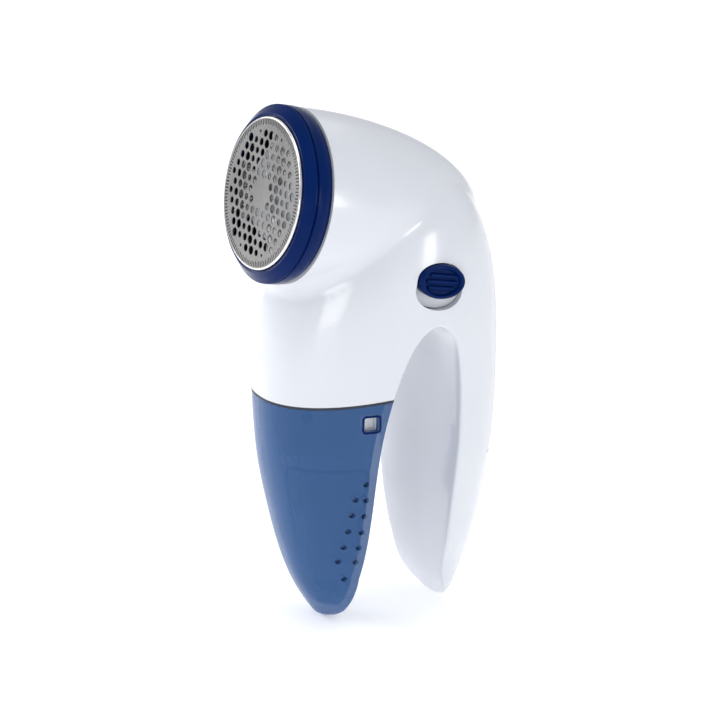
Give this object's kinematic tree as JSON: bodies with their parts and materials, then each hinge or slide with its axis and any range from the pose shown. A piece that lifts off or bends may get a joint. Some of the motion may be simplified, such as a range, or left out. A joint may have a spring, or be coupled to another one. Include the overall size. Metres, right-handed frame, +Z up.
{
  "type": "fabric shaver",
  "caption": "Battery fabric shaver with a round perforated shaving head, a lint container leg, a battery handle leg and a slide switch.",
  "frame": {"origin": "centre of the bounding box's base, under the middle of the body at the lowest tip", "axes": "+Z up along the legs, -Y the way the shaving head faces, +X the side with the switch"},
  "size_m": [0.052, 0.0768, 0.1516],
  "materials": {
    "white_plastic": "cool white, glossy",
    "navy_plastic": "dark blue, glossy",
    "blue_clear": "translucent steel blue",
    "foil_steel": "satin, perforated",
    "blade_steel": "ground",
    "spring_steel": "drawn wire",
    "zinc_steel": "bright zinc",
    "brass": "plain",
    "seal_rubber": "dark blue-grey, soft",
    "grey_plastic": "satin grey",
    "black_plastic": "matt black",
    "magnet": "sintered ferrite",
    "laminations": "stacked sheet",
    "cell_wrap": "printed-film sleeve, plain"
  },
  "bodies": {
    "housing": {"housing_right": "white_plastic", "housing_left": "white_plastic", "cutter_chamber": "black_plastic", "motor_can": "zinc_steel", "motor_bush": "brass", "motor_magnets": "magnet", "motor_endcap": "black_plastic", "motor_terminals": "brass", "motor_bracket": "grey_plastic", "switch_base": "white_plastic", "switch_body": "black_plastic", "switch_contacts": "brass", "battery_cell_right": "cell_wrap", "battery_cell_left": "cell_wrap", "battery_springs": "spring_steel", "contact_bottom": "zinc_steel", "contact_tops": "zinc_steel", "battery_tray": "white_plastic", "container_seal": "seal_rubber", "lint_duct": "white_plastic", "duct_screws": "black_plastic", "latch_spring_right": "spring_steel", "latch_spring_left": "spring_steel", "housing_screws": "zinc_steel"},
    "battery_cover": {"battery_cover": "white_plastic"},
    "head_collar": {"head_collar": "navy_plastic"},
    "foil_unit": {"foil_ring": "navy_plastic", "foil": "foil_steel"},
    "rotor": {"cutter_hub": "white_plastic", "cutter_blades": "blade_steel", "cutter_spring": "spring_steel", "spring_washer": "brass", "motor_rotor": "laminations", "motor_shaft": "blade_steel"},
    "switch_cap": {"switch_cap": "navy_plastic", "switch_slider": "black_plastic"},
    "container": {"lint_container": "blue_clear"},
    "latch_right": {"latch_right": "white_plastic"},
    "latch_left": {"latch_left": "white_plastic"}
  },
  "joints": [
    {"name": "switch_slide", "type": "slide", "parent": "housing", "child": "switch_cap", "axis": [0, -0.2079, -0.9781], "range_m": [0, 0.003]},
    {"name": "cutter_spin", "type": "hinge", "parent": "housing", "child": "rotor", "pos_m": [0, -0.0343, 0.1281], "axis": [0, -0.9781, 0.2079], "continuous": true},
    {"name": "head_lift", "type": "slide", "parent": "housing", "child": "head_collar", "axis": [0, -0.9781, 0.2079], "range_m": [0, 0.012]},
    {"name": "ring_turn", "type": "hinge", "parent": "head_collar", "child": "foil_unit", "pos_m": [0, -0.0343, 0.1281], "axis": [0, -0.9781, 0.2079], "range_deg": [0, 30]},
    {"name": "container_slide", "type": "slide", "parent": "housing", "child": "container", "axis": [0, 0, -1], "range_m": [0, 0.08]},
    {"name": "battery_cover_hinge", "type": "hinge", "parent": "housing", "child": "battery_cover", "pos_m": [0, 0.0366, 0.0464], "axis": [-1, 0, 0], "range_deg": [0, 40]},
    {"name": "latch_right_press", "type": "slide", "parent": "housing", "child": "latch_right", "axis": [-1, 0, 0], "range_m": [0, 0.0012], "stiffness_N_per_m": 600, "springref_m": -0.001, "deforming": ["latch_spring_right"]},
    {"name": "latch_left_press", "type": "slide", "parent": "housing", "child": "latch_left", "axis": [1, 0, 0], "range_m": [0, 0.0012], "stiffness_N_per_m": 600, "springref_m": -0.001, "deforming": ["latch_spring_left"]}
  ]
}
